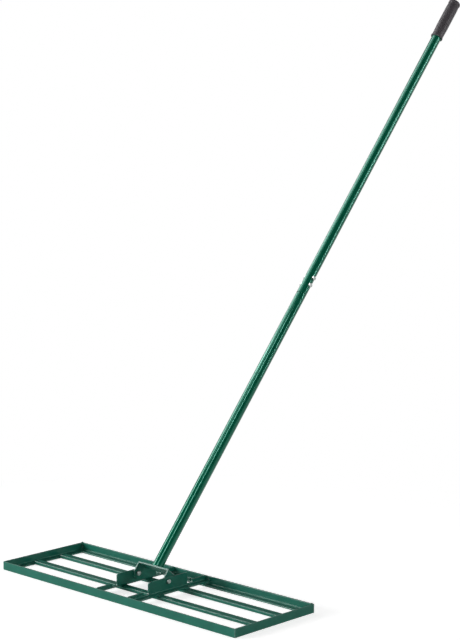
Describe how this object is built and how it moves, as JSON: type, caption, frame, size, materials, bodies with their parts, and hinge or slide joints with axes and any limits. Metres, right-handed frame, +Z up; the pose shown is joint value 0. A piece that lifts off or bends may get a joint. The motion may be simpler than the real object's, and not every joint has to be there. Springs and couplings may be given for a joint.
{
  "type": "lawn leveling rake",
  "caption": "Lawn leveling rake: flat welded steel slat frame with a tilting yoke and a long two-piece tube handle with a rubber grip.",
  "frame": {"origin": "the middle of the head's front lower edge, on the ground", "axes": "+X along the head to its right end, +Y from the head's front to its back and towards the handle, +Z up"},
  "size_m": [0.762, 1.2466, 1.3689],
  "materials": {
    "green_coat": "satin",
    "green_tube": "gloss",
    "green_weld": "satin",
    "zinc": "satin",
    "grip_rubber": "matte"
  },
  "bodies": {
    "head": {"front_bar": "green_coat", "back_bar": "green_coat", "left_end_bar": "green_coat", "right_end_bar": "green_coat", "front_inner_bar": "green_coat", "rear_inner_bar": "green_coat", "corner_welds": "green_weld", "bar_welds": "green_weld", "left_bracket": "green_coat", "right_bracket": "green_coat", "bracket_welds": "green_weld", "pivot_bolts": "zinc", "pivot_nuts": "zinc"},
    "handle": {"yoke": "green_coat", "handle_weld": "green_weld", "lower_tube": "green_tube", "upper_tube": "green_tube", "joint_bolts": "zinc", "joint_nuts": "zinc", "grip": "grip_rubber"}
  },
  "joints": [
    {"name": "handle_tilt", "type": "hinge", "parent": "head", "child": "handle", "pos_m": [0, 0.125, 0.0315], "axis": [1, 0, 0], "range_deg": [-48.5, 128.3]}
  ]
}
